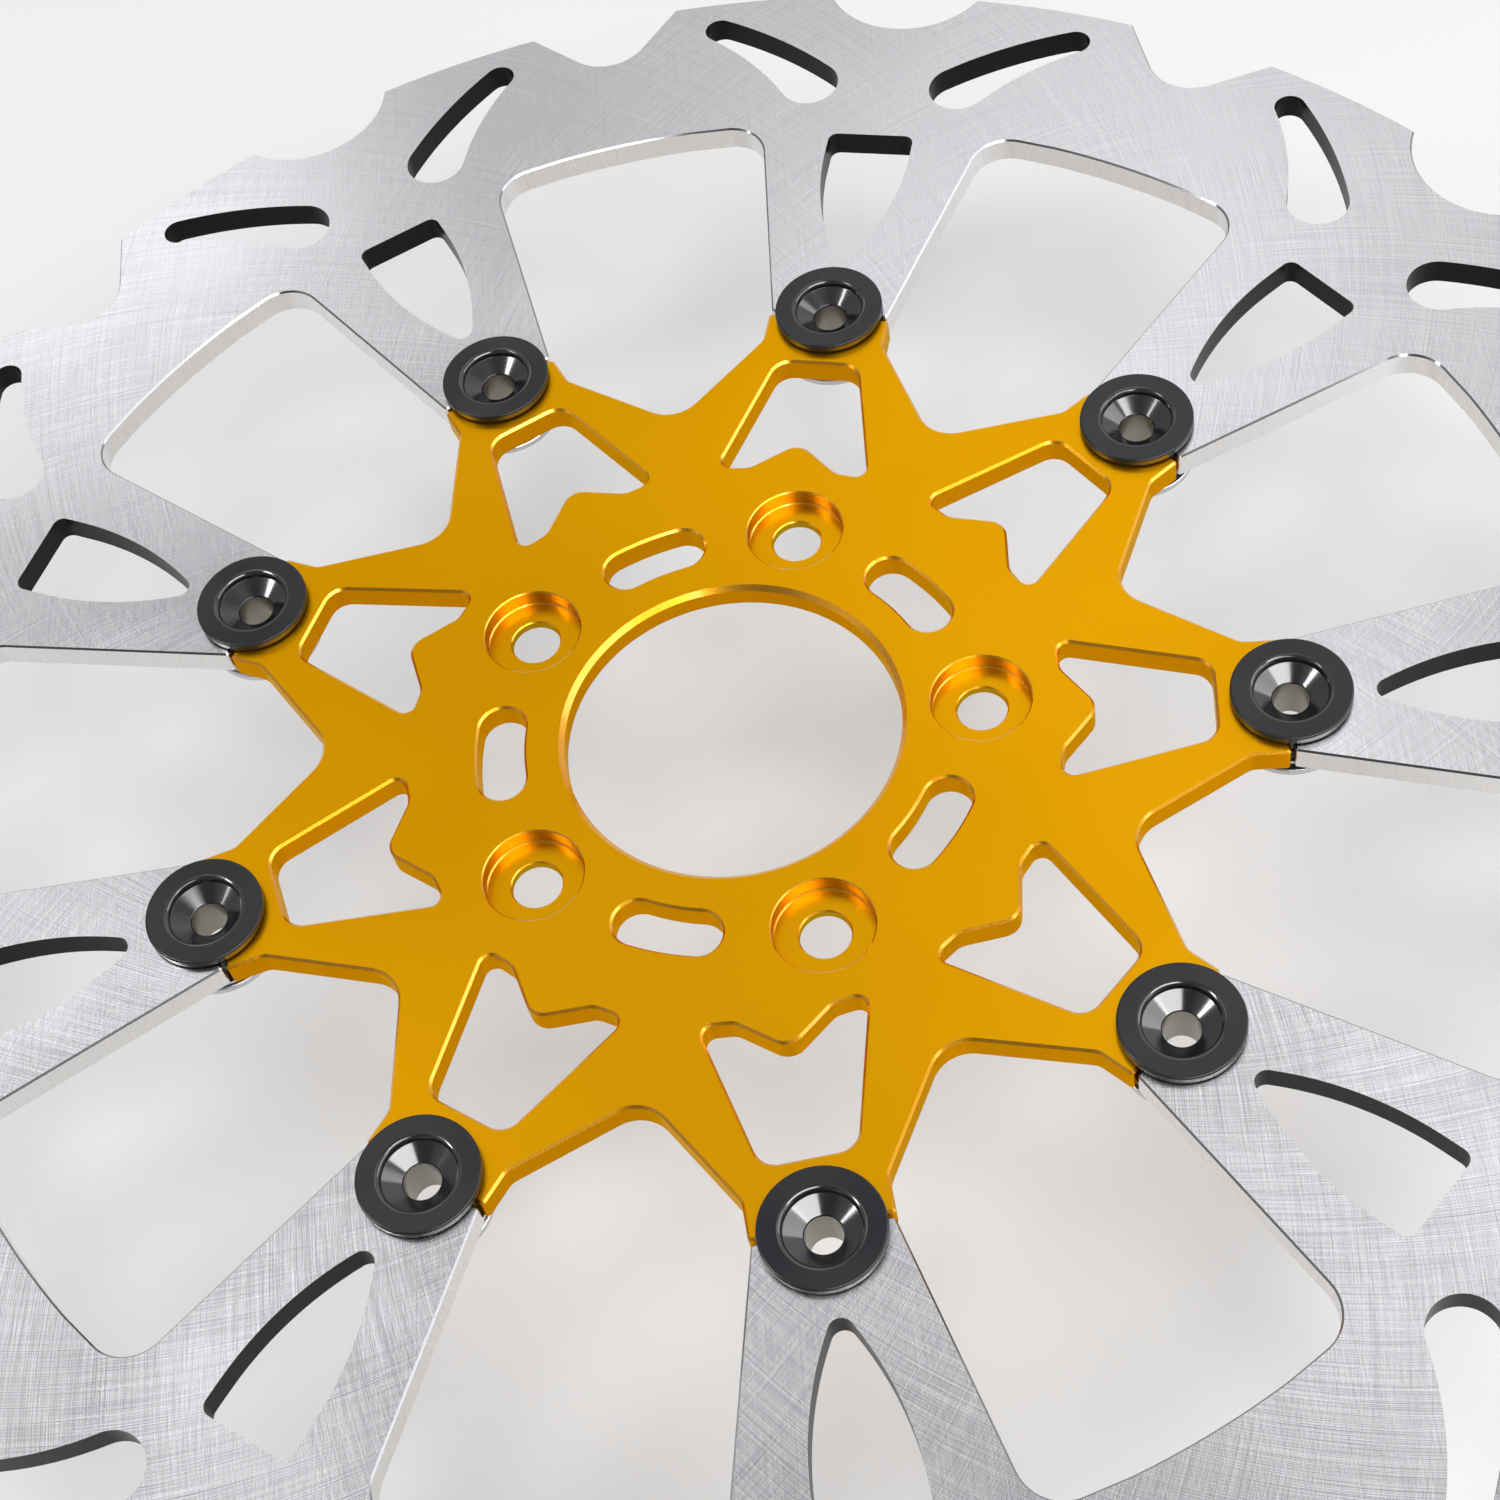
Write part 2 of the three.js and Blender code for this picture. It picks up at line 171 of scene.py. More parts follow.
# Light: azimuths are in degrees from the camera's side, growing to the viewer's right
WALL_LIGHT = 0.4
DARKEST_WALL = 0.03
LIGHT_DISTANCE = 1.5  # metres
WORLD_PATCHES = [  # azimuth, elevation, inner and outer radius in degrees, added brightness
    (172, 47, 14, 36, 0.46),
    (169, 51, 1, 11, 0.5),
    (156, 66, 0, 11, 0.8),
    (-156, 64, 0, 9, 0.95),
    (-153, 54, 0, 9, 0.7),
    (-162, 51, 0, 8, -0.85),
    (-165, 41, 0, 8, 0.9),
    (183, 71, 0, 13, -0.48),
    (186, 58, 2, 10, -0.42),
    (178, 42, 2, 11, -0.28),
    (153, 56, 0, 8, -0.34),
    (-20, 42, 20, 38, -0.24),
    (115, 8, 20, 45, 0.45),
]
SOFT_BOXES = [  # name, azimuth, elevation, width and height in degrees, radiance, seen in metal
    ("front_key", 25, 53, 42, 24, 7.8, True),
    ("right_big", 75, 34, 54, 32, 2.5, True),
    ("left_strip", -92, 46, 8, 24, 18, True),
    ("overhead", 0, 80, 12, 12, 15, False),
]


# Outlines: lists of (x, y) in millimetres, clockwise round the rotor's axis


def polar(radius, angle):
    """The point at a radius and at an angle in degrees clockwise from +Y."""
    return (radius * math.sin(math.radians(angle)), radius * math.cos(math.radians(angle)))


def bearing(start, end):
    """The direction from one point to another, in degrees counterclockwise from +X."""
    return math.degrees(math.atan2(end[1] - start[1], end[0] - start[0]))


def arc(centre, radius, start, end):
    """Points along an arc between two bearings, both ends included."""
    step = 2 * math.acos(1 - ARC_TOLERANCE / radius)
    count = max(3, math.ceil(abs(math.radians(end - start)) / step))
    bearings = [math.radians(start + (end - start) * i / count) for i in range(count + 1)]
    return [(centre[0] + radius * math.cos(b), centre[1] + radius * math.sin(b)) for b in bearings]


def circle(centre, radius):
    return arc(centre, radius, 0, 360)[1:]


def turned(points, angle):
    """The points turned clockwise about the axis; a third value, a corner's fillet, is kept."""
    c, s = math.cos(math.radians(angle)), math.sin(math.radians(angle))
    return [(p[0] * c + p[1] * s, p[1] * c - p[0] * s, *p[2:]) for p in points]


def mirrored(points):
    """The points mirrored across the arm's axis, in reverse order."""
    return [(-p[0], p[1]) for p in reversed(points)]


def rounded(corners):
    """A closed outline whose (x, y, fillet) corners become arcs tangent to both of their sides."""
    points = []
    for i, here in enumerate(corners):
        if len(here) == 2 or not here[2]:
            points.append(here[:2])
            continue
        at = Vector(here[:2])
        back = (Vector(corners[i - 1][:2]) - at).normalized()
        ahead = (Vector(corners[(i + 1) % len(corners)][:2]) - at).normalized()
        half = back.angle(ahead) / 2
        centre = at + (back + ahead).normalized() * here[2] / math.sin(half)
        run = here[2] / math.tan(half)
        start = bearing(centre, at + back * run)
        sweep = (bearing(centre, at + ahead * run) - start + 540) % 360 - 180  # the short way round
        points += arc(centre, here[2], start, start + sweep)
    return points


def apex(first, from_first, second, from_second):
    """The point at given distances from two others, on the left of the line between them."""
    line = Vector(second[:2]) - Vector(first[:2])
    span = line.length
    along = (from_first**2 - from_second**2 + span**2) / (2 * span)
    aside = math.sqrt(from_first**2 - along**2)
    line.normalize()
    return Vector(first[:2]) + line * along + Vector((-line.y, line.x)) * aside


def at_each_arm(points):
    """The outline turned to each of the arms."""
    return [turned(points, i * ARM_PITCH) for i in range(ARMS)]


def joined(outlines):
    """The points of all the outlines, in one list."""
    return [point for outline in outlines for point in outline]


def ring_outer_edge():
    """The wavy rim: a scallop at each arm and one between arms, with short teeth that part them."""
    tip = polar(RING_RADIUS, TIP_ANGLE)
    depth = tip[1] - ARM_SCALLOP_BOTTOM
    radius = (tip[0] ** 2 + depth**2) / (2 * depth)
    centre = (0, ARM_SCALLOP_BOTTOM + radius)
    reach = bearing(centre, tip)
    scallop = arc(centre, radius, -180 - reach, reach)
    rim = arc((0, 0), RING_RADIUS, 90 - TIP_ANGLE, 90 - ARM_PITCH / 2 + TIP_ANGLE)
    between = polar(GAP_SCALLOP_APEX, ARM_PITCH / 2)
    sector = [
        (*mirrored(rim)[0], TIP_FILLET),
        *mirrored(rim)[1:-1],
        (*scallop[0], TIP_FILLET),
        *scallop[1:-1],
        (*scallop[-1], TIP_FILLET),
        *rim[1:-1],
        (*rim[-1], TIP_FILLET),
        (*between, GAP_SCALLOP_FILLET),
    ]
    return rounded(joined(at_each_arm(sector)))


def ring_inner_edge():
    """The inside of the track, with the arms that reach in to the bobbins and half a notch on each."""
    bobbin = (0, BOBBIN_CIRCLE_RADIUS)
    mouth = math.degrees(math.asin((ARM_END - bobbin[1]) / NOTCH_RADIUS))
    root = polar(TRACK_INNER_RADIUS, ARM_ROOT_ANGLE)
    foot = 2 * math.degrees(ARM_ROOT_FILLET / TRACK_INNER_RADIUS)
    track = arc((0, 0), TRACK_INNER_RADIUS, 90 - ARM_ROOT_ANGLE - foot, 90 - ARM_PITCH / 2)
    sector = [
        *mirrored(track)[1:],
        (-root[0], root[1], ARM_ROOT_FILLET),
        (-ARM_END_HALF_WIDTH, ARM_END, ARM_END_FILLET),
        *arc(bobbin, NOTCH_RADIUS, 180 - mouth, mouth),
        (ARM_END_HALF_WIDTH, ARM_END, ARM_END_FILLET),
        (root[0], root[1], ARM_ROOT_FILLET),
        *track,
    ]
    return rounded(joined(at_each_arm(sector)))


def shield_window():
    """The pointed window in an arm, with bowed sides and its tip towards the axis."""
    side = (SHIELD_HALF_WIDTH - SHIELD_SIDE_RADIUS, SHIELD_SIDE_START)
    drop = math.sqrt((SHIELD_SIDE_RADIUS - SHIELD_TIP_RADIUS) ** 2 - side[0] ** 2)
    tip = (0, SHIELD_SIDE_START - drop)
    lean = bearing(side, tip)
    corner = (SHIELD_HALF_WIDTH - SHIELD_CORNER, SHIELD_TOP - SHIELD_CORNER)
    half = [
        *arc(corner, SHIELD_CORNER, 90, 0),
        *arc(side, SHIELD_SIDE_RADIUS, 0, lean),
        *arc(tip, SHIELD_TIP_RADIUS, lean, -90)[1:],
    ]
    return half + mirrored(half)[1:]


def comma_slot():
    """The slot on one side of an arm: a wide head, a narrow tail, and two arcs tangent to both."""
    head, tail = COMMA_HEAD, COMMA_TAIL
    outer = apex(tail, COMMA_OUTER_RADIUS - tail[2], head, COMMA_OUTER_RADIUS - head[2])
    inner = apex(tail, COMMA_INNER_RADIUS + tail[2], head, COMMA_INNER_RADIUS + head[2])
    return [
        *arc(outer, COMMA_OUTER_RADIUS, bearing(outer, head), bearing(outer, tail)),
        *arc(tail, tail[2], bearing(outer, tail), bearing(tail, inner))[1:],
        *arc(inner, COMMA_INNER_RADIUS, bearing(inner, tail), bearing(inner, head))[1:],
        *arc(head, head[2], bearing(head, inner), bearing(outer, head) - 360)[1:-1],
    ]


def carrier_outer_edge():
    """The carrier's star: a head with half a bobbin notch on each arm, and a valley between arms."""
    bobbin = (0, BOBBIN_CIRCLE_RADIUS)
    mouth = math.degrees(math.asin((HEAD_END - bobbin[1]) / NOTCH_RADIUS))
    sector = [
        (-HEAD_HALF_WIDTH, SHOULDER_Y, SHOULDER_FILLET),
        (-HEAD_HALF_WIDTH, HEAD_END, HEAD_FILLET),
        *arc(bobbin, NOTCH_RADIUS, -180 - mouth, mouth),
        (HEAD_HALF_WIDTH, HEAD_END, HEAD_FILLET),
        (HEAD_HALF_WIDTH, SHOULDER_Y, SHOULDER_FILLET),
        (*polar(VALLEY_APEX, ARM_PITCH / 2), VALLEY_FILLET),
    ]
    return rounded(joined(at_each_arm(sector)))


def kidney_slot():
    """A slot bent round the hub bore, with round ends."""
    start, end = 90 + KIDNEY_HALF_ANGLE, 90 - KIDNEY_HALF_ANGLE
    left, right = polar(KIDNEY_RADIUS, -KIDNEY_HALF_ANGLE), polar(KIDNEY_RADIUS, KIDNEY_HALF_ANGLE)
    return [
        *arc((0, 0), KIDNEY_RADIUS + KIDNEY_HALF_WIDTH, start, end),
        *arc(right, KIDNEY_HALF_WIDTH, end, end - 180)[1:],
        *arc((0, 0), KIDNEY_RADIUS - KIDNEY_HALF_WIDTH, end, start)[1:],
        *arc(left, KIDNEY_HALF_WIDTH, start + 180, start)[1:-1],
    ]


# Plates: each outline carries a profile of (inset, height, material) steps from its top to its bottom


FACE, WALL, CHAMFER, CUT = range(4)  # a plate's materials; CUT is for laser-cut slots and drilled holes


def spaced(points):
    """The outline without points that lie on top of the one before, run counterclockwise."""
    kept = [p for i, p in enumerate(points) if math.dist(p, points[i - 1]) > SAME_POINT]
    area = sum(a[0] * b[1] - b[0] * a[1] for a, b in zip(kept, kept[1:] + kept[:1]))
    return kept if area > 0 else kept[::-1]


def inset(points, distance):
    """A counterclockwise outline moved to its left by a distance, along the bisector at each point."""
    moved = []
    for i, point in enumerate(points):
        here = Vector(point)
        back = (here - Vector(points[i - 1])).normalized()
        ahead = (Vector(points[(i + 1) % len(points)]) - here).normalized()
        along = (back + ahead).normalized()
        stretch = 1 / max(SHARPEST_MITRE, along.dot(back))
        moved.append((point[0] - along.y * distance * stretch, point[1] + along.x * distance * stretch))
    return moved


def broken_edges(top, bottom, chamfer):
    """The profile of a straight wall with the same chamfer at both ends.

    A profile holds (inset, height, material of the step down to the next entry)."""
    return [
        (chamfer, top, CHAMFER),
        (0, top - chamfer, WALL),
        (0, bottom + chamfer, CHAMFER),
        (chamfer, bottom, None),
    ]


def new_mesh(name, vertices, faces, face_materials, materials):
    """A smooth-shaded mesh in metres from vertices in millimetres."""
    mesh = bpy.data.meshes.new(name)
    mesh.from_pydata([Vector(v) * MM for v in vertices], [], faces)
    for material in materials:
        mesh.materials.append(material)
    mesh.polygons.foreach_set("material_index", face_materials)
    mesh.shade_smooth()
    return mesh


def new_object(name, data):
    """An object in the scene for a mesh, light or camera."""
    made = bpy.data.objects.new(name, data)
    bpy.context.collection.objects.link(made)
    return made


def build_plate(name, edges, materials):
    """A closed plate from (outline, is_hole, profile) edges.

    Every profile entry becomes a loop of vertices, and neighbouring loops are joined by walls. The first
    and last loops of all the edges bound the top and bottom faces, which take the FACE material."""
    vertices, faces, face_materials, top, bottom = [], [], [], [], []
    sharp_loops = []
    for outline, is_hole, profile in edges:
        points = spaced(outline)
        if is_hole:
            points = points[::-1]
        count = len(points)
        loops = []
        for distance, height, _ in profile:
            loops.append(range(len(vertices), len(vertices) + count))
            vertices += [(x, y, height) for x, y in inset(points, distance)]
        for upper, lower, step in zip(loops, loops[1:], profile):
            for i in range(count):
                j = (i + 1) % count
                faces.append((upper[j], upper[i], lower[i], lower[j]))
                face_materials.append(step[2])
        top.append(list(loops[0]))
        bottom.append(list(loops[-1]))
        sharp_loops += loops
    for borders, flip in ((top, False), (bottom, True)):
        flat = joined(borders)
        lines = [[Vector((vertices[i][0], vertices[i][1], 0)) for i in border] for border in borders]
        for triangle in tessellate_polygon(lines):
            corners = [flat[i] for i in triangle]
            a, b, c = (Vector(vertices[i][:2]) for i in corners)
            counterclockwise = (b - a).cross(c - a) > 0
            faces.append(corners if counterclockwise != flip else corners[::-1])
            face_materials.append(FACE)
    mesh = new_mesh(name, vertices, faces, face_materials, materials)
    mark_sharp(mesh, sharp_loops)
    return new_object(name, mesh)


def mark_sharp(mesh, loops):
    """Marks the edges along each loop of vertices as sharp, so that walls and chamfers meet crisply."""
    in_loop = {}
    for number, loop in enumerate(loops):
        for vertex in loop:
            in_loop[vertex] = number
    for edge in mesh.edges:
        a, b = edge.vertices
        edge.use_edge_sharp = a in in_loop and in_loop.get(a) == in_loop.get(b)


def supported(profile):
    """The profile with an extra point near both ends of each long step, so that it shades flat."""
    points = []
    for here, there in zip(profile, profile[1:] + profile[:1]):
        points.append(here)
        run = math.dist(here[:2], there[:2])
        if run > 4 * SUPPORT_GAP:
            for share in (SUPPORT_GAP / run, 1 - SUPPORT_GAP / run):
                radius = here[0] + (there[0] - here[0]) * share
                height = here[1] + (there[1] - here[1]) * share
                points.append((radius, height, here[2]))
    return points


def revolve(name, profile, materials, lift=None):
    """A ring turned about +Z from a closed profile.

    A profile holds (radius, height, material of the step that follows). lift, if given, is the height
    added at each angle in radians."""
    profile = supported(profile)
    vertices, faces, face_materials = [], [], []
    count = len(profile)
    for step in range(TURNED_STEPS):
        angle = 2 * math.pi * step / TURNED_STEPS
        rise = lift(angle) if lift else 0
        for radius, height, _ in profile:
            vertices.append((radius * math.cos(angle), radius * math.sin(angle), height + rise))
    for step in range(TURNED_STEPS):
        here, there = step * count, (step + 1) % TURNED_STEPS * count
        for i in range(count):
            j = (i + 1) % count
            faces.append((here + i, there + i, there + j, here + j))
            face_materials.append(profile[i][2])
    return new_mesh(name, vertices, faces, face_materials, materials)


# Materials


MIX_FIRST, MIX_SECOND, MIX_RESULT = 6, 7, 2  # the colour sockets of a Mix node


def new_material(name):
    material = bpy.data.materials.new(name)
    material.use_nodes = True
    tree = material.node_tree
    shader = tree.nodes["Principled BSDF"]
    return material, tree, shader


def add(tree, kind, **inputs):
    """A node of a kind, with attributes by name and socket values by their label in `sockets`."""
    node = tree.nodes.new(kind)
    sockets = inputs.pop("sockets", {})
    for key, value in inputs.items():
        setattr(node, key, value)
    for label, value in sockets.items():
        if isinstance(value, bpy.types.NodeSocket):
            tree.links.new(value, node.inputs[label])
        else:
            node.inputs[label].default_value = value
    return node


def math_node(tree, operation, a, b, c=0.0):
    return add(tree, "ShaderNodeMath", operation=operation, sockets={0: a, 1: b, 2: c}).outputs[0]


def ramp(tree, value, stops):
    """A colour ramp of (position, brightness) stops."""
    node = add(tree, "ShaderNodeValToRGB", sockets={"Fac": value})
    elements = node.color_ramp.elements
    while len(elements) < len(stops):
        elements.new(0.5)
    for element, (position, brightness) in zip(elements, stops):
        element.position = position
        element.color = (brightness, brightness, brightness, 1)
    return node.outputs[0]


def noise(tree, vector, scale, detail=2.0, roughness=0.5, distortion=0.0):
    values = {
        "Vector": vector,
        "Scale": scale,
        "Detail": detail,
        "Roughness": roughness,
        "Distortion": distortion,
    }
    return add(tree, "ShaderNodeTexNoise", sockets=values).outputs["Fac"]


def stretched(tree, vector, angle, along, across):
    """The vector turned about Z and scaled, so that noise on it runs in lines at that angle."""
    turn = add(
        tree,
        "ShaderNodeVectorRotate",
        rotation_type="Z_AXIS",
        sockets={"Vector": vector, "Angle": math.radians(angle)},
    )
    return add(
        tree,
        "ShaderNodeVectorMath",
        operation="MULTIPLY",
        sockets={0: turn.outputs[0], 1: (along, across, 1)},
    ).outputs[0]


def spread(tree, value, gain, offset):
    """The value times a gain, plus an offset."""
    return math_node(tree, "ADD", math_node(tree, "MULTIPLY", value, gain), offset)


def bump(tree, height, strength, distance):
    values = {"Height": height, "Strength": strength, "Distance": distance}
    return add(tree, "ShaderNodeBump", sockets=values).outputs["Normal"]


def mix_colour(tree, factor, first, second):
    node = add(tree, "ShaderNodeMix", data_type="RGBA")
    tree.links.new(factor, node.inputs[0])
    node.inputs[MIX_FIRST].default_value = (*first, 1)
    node.inputs[MIX_SECOND].default_value = (*second, 1)
    return node.outputs[MIX_RESULT]


def grinding_arcs(tree, place, side):
    """Fine lines along the arcs that a grinding wheel leaves on a turning disc.

    An arc keeps a constant angle: the point's own angle, plus or minus the angle at the disc's axis in
    the triangle of axis, wheel centre and point."""
    split = add(tree, "ShaderNodeSeparateXYZ", sockets={0: place})
    x, y = split.outputs[0], split.outputs[1]
    squares = math_node(tree, "MULTIPLY_ADD", x, x, math_node(tree, "MULTIPLY", y, y))
    radius = math_node(tree, "SQRT", squares, 0)
    offset, wheel = WHEEL_OFFSET * MM, WHEEL_RADIUS * MM
    opposite = math_node(tree, "MULTIPLY_ADD", radius, radius, offset**2 - wheel**2)
    cosine = math_node(tree, "DIVIDE", opposite, math_node(tree, "MULTIPLY", radius, 2 * offset))
    swing = math_node(tree, "ARCCOSINE", cosine, 0)
    angle = math_node(tree, "MULTIPLY_ADD", swing, side, math_node(tree, "ARCTAN2", y, x))
    lines_per_turn = RING_RADIUS / GRINDING_LINE_WIDTH
    across = [
        math_node(tree, "MULTIPLY", math_node(tree, turn, angle, 0), lines_per_turn)
        for turn in ("COSINE", "SINE")
    ]
    along = math_node(tree, "MULTIPLY", radius, 1 / (GRINDING_LINE_LENGTH * MM))
    sockets = {0: across[0], 1: across[1], 2: along}
    vector = add(tree, "ShaderNodeCombineXYZ", sockets=sockets).outputs[0]
    return noise(tree, vector, 1, 2, 0.6)


def line_depth(tree, place):
    """How deep the grinding lines are: the wheel bit harder on one side of the disc."""
    angle = math.radians(HEAVY_SIDE_ANGLE)
    side = (math.cos(angle), math.sin(angle), 0)
    across = add(tree, "ShaderNodeVectorMath", operation="DOT_PRODUCT", sockets={0: place, 1: side})
    depth = add(
        tree,
        "ShaderNodeMapRange",
        sockets={
            "Value": across.outputs["Value"],
            "From Min": HEAVY_SIDE_SPAN[0] * MM,
            "From Max": HEAVY_SIDE_SPAN[1] * MM,
            "To Min": LINE_DEPTHS[0],
            "To Max": LINE_DEPTHS[1],
        },
    )
    return depth.outputs[0]


def ground_steel():
    """The ring's faces: bright stainless steel, with crossed grinding lines that come and go."""
    material, tree, shader = new_material("ground_steel")
    place = add(tree, "ShaderNodeTexCoord").outputs["Object"]
    layers = [  # lines, size of their patches, weight where they are strongest
        (grinding_arcs(tree, place, 1), 27, 1.0),
        (grinding_arcs(tree, place, -1), 34, 1.0),
        (noise(tree, stretched(tree, place, 35, 60, 3300), 1, 2, 0.6), 41, 0.45),
    ]
    lines = None
    for fine, patch_scale, weight in layers:
        patch = ramp(tree, noise(tree, place, patch_scale, 1), [(0.38, 0.4), (0.58, weight)])
        layer = math_node(tree, "MULTIPLY", math_node(tree, "SUBTRACT", fine, 0.5), patch)
        lines = layer if lines is None else math_node(tree, "ADD", lines, layer)
    lines = math_node(tree, "MULTIPLY", lines, line_depth(tree, place))
    tint = spread(tree, lines, 2.6, 0.5)
    colour = mix_colour(tree, tint, (0.53, 0.53, 0.555), (0.85, 0.848, 0.875))
    tree.links.new(colour, shader.inputs["Base Color"])
    cloud = noise(tree, place, 20, 2)
    rough = spread(tree, cloud, 0.08, 0.14)
    tree.links.new(rough, shader.inputs["Roughness"])
    tree.links.new(bump(tree, lines, 0.6, GRINDING_BUMP), shader.inputs["Normal"])
    shader.inputs["Metallic"].default_value = 1
    return material


def milled_steel():
    """The walls of the ring's rim and big windows: bright, with faint lines across the thickness."""
    material, tree, shader = new_material("milled_steel")
    place = add(tree, "ShaderNodeTexCoord").outputs["Object"]
    fine = stretched(tree, place, 0, MILLED_STRIPES, MILLED_STRIPES)
    stripes = noise(tree, fine, 1, 2, distortion=1.5)
    shader.inputs["Base Color"].default_value = (0.82, 0.81, 0.8, 1)
    shader.inputs["Metallic"].default_value = 1
    rough = spread(tree, stripes, 0.14, 0.22)
    tree.links.new(rough, shader.inputs["Roughness"])
    tree.links.new(bump(tree, stripes, 0.12, FINE_BUMP), shader.inputs["Normal"])
    return material


def laser_cut_steel():
    """The walls of the comma slots and shields: dark oxide left by the laser, with upright ridges."""
    material, tree, shader = new_material("laser_cut_steel")
    place = add(tree, "ShaderNodeTexCoord").outputs["Object"]
    upright = add(
        tree, "ShaderNodeVectorMath", operation="MULTIPLY", sockets={0: place, 1: LASER_RIDGES}
    ).outputs[0]
    ridges = noise(tree, upright, 1, 2)
    colour = mix_colour(tree, ridges, (0.003, 0.003, 0.004), (0.012, 0.011, 0.011))
    tree.links.new(colour, shader.inputs["Base Color"])
    shader.inputs["IOR"].default_value = 1.18
    shader.inputs["Roughness"].default_value = 0.3
    tree.links.new(bump(tree, ridges, 0.4, RIDGE_BUMP), shader.inputs["Normal"])
    return material


def painted_dark_edge_steel():
    """The ring's broken edges: a narrow line that the light runs along, in steel painted darker than the
    faces as painted shade.
    """
    material, _, shader = new_material("painted_dark_edge_steel")
    # painted shade: the same steel as the faces, given a dark colour so that the chamfer draws a dark
    # line
    shader.inputs["Base Color"].default_value = (0.32, 0.32, 0.34, 1)
    shader.inputs["Metallic"].default_value = 1
    shader.inputs["Roughness"].default_value = 0.14
    return material


def anodised(name, dark, light, roughness, grain_strength, coat):
    """Anodised aluminium: a fine etched grain with a slow drift of tone.

    coat is the share of the clear oxide's own shine."""
    material, tree, shader = new_material(name)
    place = add(tree, "ShaderNodeTexCoord").outputs["Object"]
    drift = noise(tree, place, 18, 2)
    grain = noise(tree, place, ETCHED_GRAIN, 2, 0.6)
    colour = mix_colour(tree, ramp(tree, drift, [(0.35, 0), (0.65, 1)]), dark, light)
    tree.links.new(colour, shader.inputs["Base Color"])
    rough = spread(tree, grain, 0.1, roughness - 0.05)
    tree.links.new(rough, shader.inputs["Roughness"])
    tree.links.new(bump(tree, grain, grain_strength, FINE_BUMP), shader.inputs["Normal"])
    shader.inputs["Metallic"].default_value = 1
    shader.inputs["Specular Tint"].default_value = GOLD_EDGE_TINT
    shader.inputs["Coat Weight"].default_value = coat
    shader.inputs["Coat Roughness"].default_value = 0.12
    return material


def turned_metal(name, colour, roughness, metallic, line_strength, ior=1.5, streak=0.0):
    """A lathe-turned surface: fine grooves round the part's own axis.

    streak is the shader's anisotropy, which stretches highlights as turning marks do."""
    material, tree, shader = new_material(name)
    place = add(tree, "ShaderNodeTexCoord").outputs["Object"]
    split = add(tree, "ShaderNodeSeparateXYZ", sockets={0: place})
    flat = add(tree, "ShaderNodeCombineXYZ", sockets={0: split.outputs[0], 1: split.outputs[1]})
    radius = add(tree, "ShaderNodeVectorMath", operation="LENGTH", sockets={0: flat.outputs[0]})
    run = math_node(tree, "ADD", radius.outputs["Value"], split.outputs[2])
    along = add(tree, "ShaderNodeCombineXYZ", sockets={0: run})
    grooves = noise(tree, along.outputs[0], LATHE_GROOVES, 2, 0.7)
    shader.inputs["Base Color"].default_value = (*colour, 1)
    shader.inputs["Metallic"].default_value = metallic
    shader.inputs["IOR"].default_value = ior
    rough = spread(tree, grooves, 0.12, roughness - 0.06)
    tree.links.new(rough, shader.inputs["Roughness"])
    tree.links.new(bump(tree, grooves, line_strength, FINE_BUMP), shader.inputs["Normal"])
    round_axis = add(tree, "ShaderNodeTangent", direction_type="RADIAL", axis="Z").outputs[0]
    tree.links.new(round_axis, shader.inputs["Tangent"])
    shader.inputs["Anisotropic"].default_value = streak
    return material


# Pieces


def heights(node):
    """The bottom and top of a CAD node, in millimetres."""
    low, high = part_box(node)
    return low.z / MM, high.z / MM


def make_ring():
    bottom, top = heights("braking_ring")
    materials = [ground_steel(), milled_steel(), painted_dark_edge_steel(), laser_cut_steel()]
    broken = broken_edges(top, bottom, RING_EDGE_BREAK)
    edges = [(ring_outer_edge(), False, broken), (ring_inner_edge(), True, broken)]
    cut_edge = [(0, top, CUT), (0, bottom, None)]
    comma = comma_slot()
    for outline in (shield_window(), comma, mirrored(comma)):
        edges += [(hole, True, cut_edge) for hole in at_each_arm(outline)]
    ring = build_plate("ground_ring", edges, materials)
    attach(ring, "ring")
    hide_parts("braking_ring")


def make_carrier():
    bottom, top = heights("carrier")
    materials = [
        anodised("gold_face", (0.785, 0.36, 0.0015), (0.825, 0.385, 0.002), 0.31, 0.10, 0),
        # painted shade: the walls take a darker copy of the face's gold
        anodised("gold_wall_painted_shade", (0.66, 0.26, 0.001), (0.7, 0.28, 0.002), 0.3, 0.06, 0),
        anodised("gold_chamfer", (0.77, 0.34, 0.008), (0.81, 0.37, 0.012), 0.28, 0.03, 1),
        # painted shade: the bolt holes and counterbore walls take a darker brown copy of the gold, as
        # shade in the recesses
        anodised("gold_drilled_painted_shade", (0.47, 0.26, 0.011), (0.53, 0.3, 0.014), 0.34, 0.06, 0),
    ]
    floor = top - COUNTERBORE_DEPTH
    step = COUNTERBORE_RADIUS - BOLT_HOLE_RADIUS
    small = SMALL_CHAMFER
    counterbore = [
        (step + small, top, CHAMFER),
        (step, top - small, CUT),
        (step, floor + small, CHAMFER),
        (step - small, floor, FACE),
        (small, floor, CHAMFER),
        (0, floor - small, CUT),
        (0, bottom + small, CHAMFER),
        (small, bottom, None),
    ]
    broken = broken_edges(top, bottom, CARRIER_CHAMFER)
    edges = [
        (carrier_outer_edge(), False, broken),
        (circle((0, 0), HUB_BORE_RADIUS), True, broken_edges(top, bottom, BORE_CHAMFER)),
    ]
    edges += [(window, True, broken) for window in at_each_arm(rounded(WINDOW_CORNERS))]
    for i in range(BOLTS):
        angle = i * BOLT_PITCH
        edges.append((turned(kidney_slot(), angle), True, broken_edges(top, bottom, SLOT_CHAMFER)))
        bolt = polar(BOLT_CIRCLE_RADIUS, angle + BOLT_PITCH / 2)
        edges.append((circle(bolt, BOLT_HOLE_RADIUS), True, counterbore))
    carrier = build_plate("gold_carrier", edges, materials)
    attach(carrier, "carrier")
    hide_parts("carrier")


